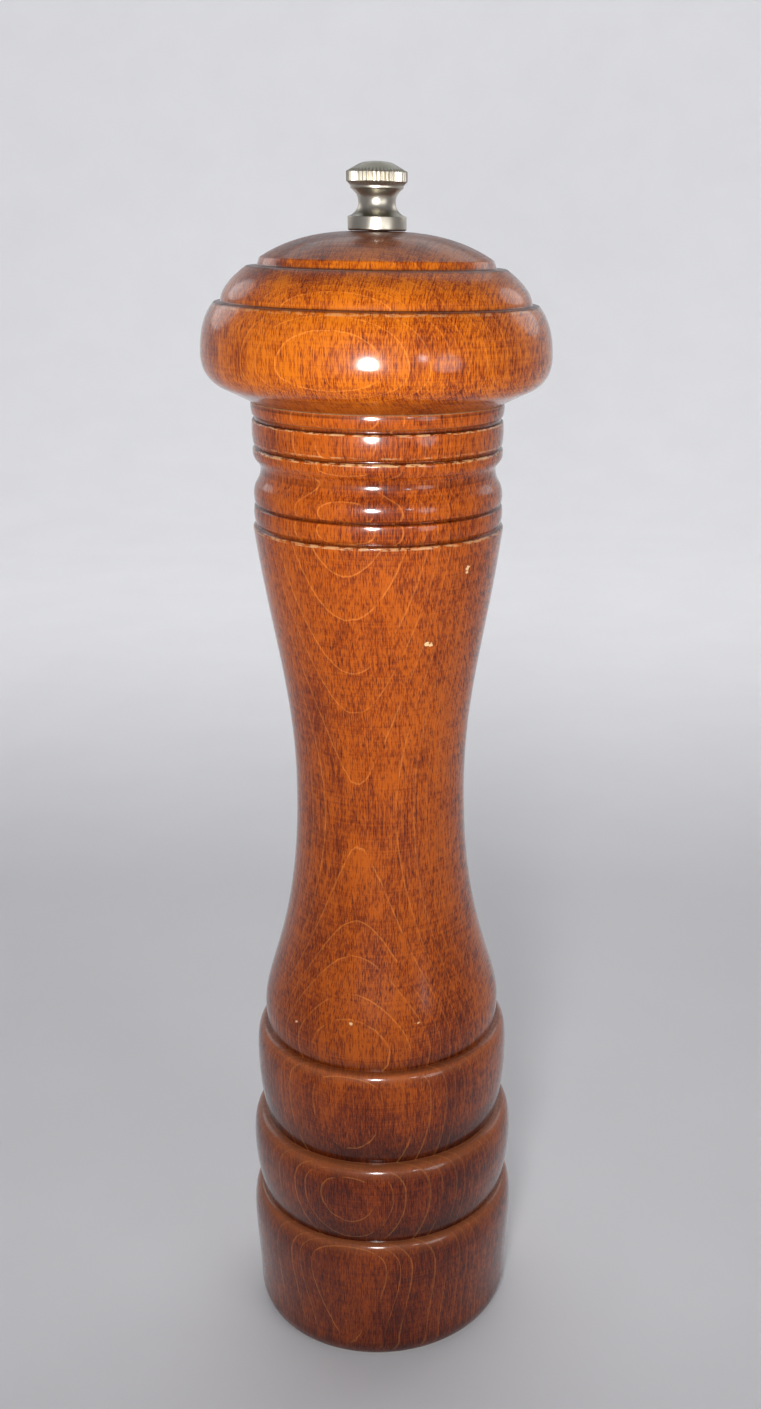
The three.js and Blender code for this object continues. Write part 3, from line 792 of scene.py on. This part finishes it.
def coil(name, steps=60, sides=16):
    """The spring's wire, whose end turns lie closer together than its middle ones."""
    count = steps * SPRING_TURNS
    low, rise = SPRING_LOW + WIRE_R, SPRING_HIGH - SPRING_LOW - 2 * WIRE_R
    points, faces = [], []
    for i in range(count + 1):
        t = i / count
        ease = t - END_TURN_EASE * math.sin(TURN * t) / TURN
        a, z = TURN * SPRING_TURNS * t, low + rise * ease
        for j in range(sides):
            b = TURN * j / sides
            r = SPRING_R + WIRE_R * math.cos(b)
            points.append((r * math.cos(a), r * math.sin(a), z + WIRE_R * math.sin(b)))
    for i in range(count):
        for j in range(sides):
            k = (j + 1) % sides
            faces.append([i * sides + k, i * sides + j, (i + 1) * sides + j, (i + 1) * sides + k])
    faces += [list(range(sides)), [count * sides + j for j in range(sides)][::-1]]
    return mesh_object(name, points, faces)


spring = place(coil("spring_coil"), "spring", "spring_steel", wire, "spring")
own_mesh(spring)

# ---------------------------------------------------------------- drive plate
PLATE_LOW, PLATE_HIGH, PLATE_R = 204.8, 206.1, 12.6
PLATE_SCREW_RING = 9.2
PLATE_HOLE_R = 1.4
diagonals = [math.radians(45 + 90 * k) for k in range(4)]
screw_places = [(PLATE_SCREW_RING * math.cos(a), PLATE_SCREW_RING * math.sin(a)) for a in diagonals]
outline = Outline(0, PLATE_LOW).line(PLATE_R, PLATE_LOW, PLATE_R, PLATE_HIGH, 0, PLATE_HIGH)
plate = turned("drive_plate_disc", outline.softened(0.25), SMALL_ROUND)
cut(plate, prism("square_hole", rectangle(2 * SQUARE_HOLE, 2 * SQUARE_HOLE), PLATE_LOW - 2, PLATE_HIGH + 2))
cut(plate, *(prism(f"plate_hole_{k}", circle(PLATE_HOLE_R, 24, x, y), PLATE_LOW - 2, PLATE_HIGH + 2)
             for k, (x, y) in enumerate(screw_places)))
place(plate, "head", "plated_steel", zinc, "drive_plate")
for k, (x, y) in enumerate(screw_places):
    name, turn = f"drive_plate_screw_{k + 1}", 17 + 31 * k
    made = screw(f"{name}_pan", 2.1, 1.2, 1.1, 8.5, 1.0, PLATE_LOW - 0.3, x, y, turn)
    place(made, "head", "plated_steel", zinc, name)

# ---------------------------------------------------------------- stage
FLOOR_R, COVE_R, WALL_TOP = 900.0, 600.0, 1500.0  # the flat floor, the curve up to the wall, the wall
outline = [(0.0, 0.0), (FLOOR_R, 0.0)]
for degrees in range(5, 95, 5):
    a = math.radians(degrees)
    outline.append((FLOOR_R + COVE_R * math.sin(a), COVE_R - COVE_R * math.cos(a)))
outline.append((FLOOR_R + COVE_R, WALL_TOP))
floor = turned("studio_floor", outline, 128)
floor.data.flip_normals()
paper = Tree("pale_paper")
fibre = paper.noise(paper.place_mm(), (0.02, 0.02, 0.02), 4.0)
floor.data.materials.append(paper.finish(
    Base_Color=paper.mix(fibre, rgb(0.72, 0.72, 0.74), rgb(0.77, 0.77, 0.79)), Roughness=0.9))


def lamp(name, azimuth, elevation, away, size, power, spread=180, aim=(0, 0, 0.15)):
    """A round light this far from its aim, in metres. Azimuth 0 is the front, 90 the right."""
    light = bpy.data.lights.new(name, "AREA")
    light.shape = "DISK"
    light.energy, light.size, light.spread = power, size, math.radians(spread)
    obj = bpy.data.objects.new(name, light)
    a, e = math.radians(azimuth), math.radians(elevation)
    out = Vector((math.sin(a) * math.cos(e), -math.cos(a) * math.cos(e), math.sin(e)))
    obj.location = Vector(aim) + out * away
    obj.rotation_euler = out.to_track_quat("Z", "Y").to_euler()
    obj.visible_camera = False
    bpy.context.collection.objects.link(obj)
    return obj


# a small lamp close to the front, and soft ones around and behind, so that the wood stays deep
lamp("key", -1, 0, 0.335, 0.06, 0.41, 100, aim=(0, 0, 0.225))
lamp("side", 32, 8, 0.5, 0.035, 0.1, aim=(0, 0, 0.2))
lamp("right_softbox", 48, 0, 0.62, 0.2, 0.42, aim=(0, 0, 0.215))
lamp("top_softbox", 180, 66, 1.25, 1.3, 4.0, 170, aim=(0, 0.3, 0.0))
lamp("back_left_softbox", 232, 24, 1.1, 0.5, 0.8)
lamp("back_right_softbox", 132, 24, 1.1, 0.5, 0.8)
# this one stands behind the mill and faces the wall
backdrop = lamp("backdrop", 0, 8, -0.35, 1.6, 7.2, aim=(0, 0, 0.85)).data
backdrop.shape, backdrop.size_y = "RECTANGLE", 0.5

world = bpy.data.worlds.new("studio")
bpy.context.scene.world = world
world.use_nodes = True
background = world.node_tree.nodes["Background"].inputs
background["Color"].default_value = rgb(0.86, 0.88, 0.94)
background["Strength"].default_value = 0.15
bpy.context.scene.view_settings.view_transform = "Standard"

# ---------------------------------------------------------------- camera
FRAME_H = 1409  # the image is 761 wide and this high
FOCAL_PX, SHIFT_PX = 1495.9, -120
SENSOR = 36.0
CAMERA_AT = Vector((0.0270, -0.31967, 0.25599))
PITCH, ROLL = math.radians(17.845), math.radians(1.112)
camera_data = bpy.data.cameras.new("camera")
camera_data.sensor_width = SENSOR
camera_data.lens = FOCAL_PX * SENSOR / FRAME_H
camera_data.shift_x = SHIFT_PX / FRAME_H
camera_data.clip_start = 0.01
camera = bpy.data.objects.new("camera", camera_data)
bpy.context.collection.objects.link(camera)
ahead = Vector((0, math.cos(PITCH), -math.sin(PITCH)))
up = Vector((0, math.sin(PITCH), math.cos(PITCH)))
right = Vector((1, 0, 0))
image_x = right * math.cos(ROLL) + up * math.sin(ROLL)
image_y = up * math.cos(ROLL) - right * math.sin(ROLL)
camera.matrix_world = Matrix((image_x, image_y, -ahead)).transposed().to_4x4()
camera.location = CAMERA_AT
bpy.context.scene.camera = camera
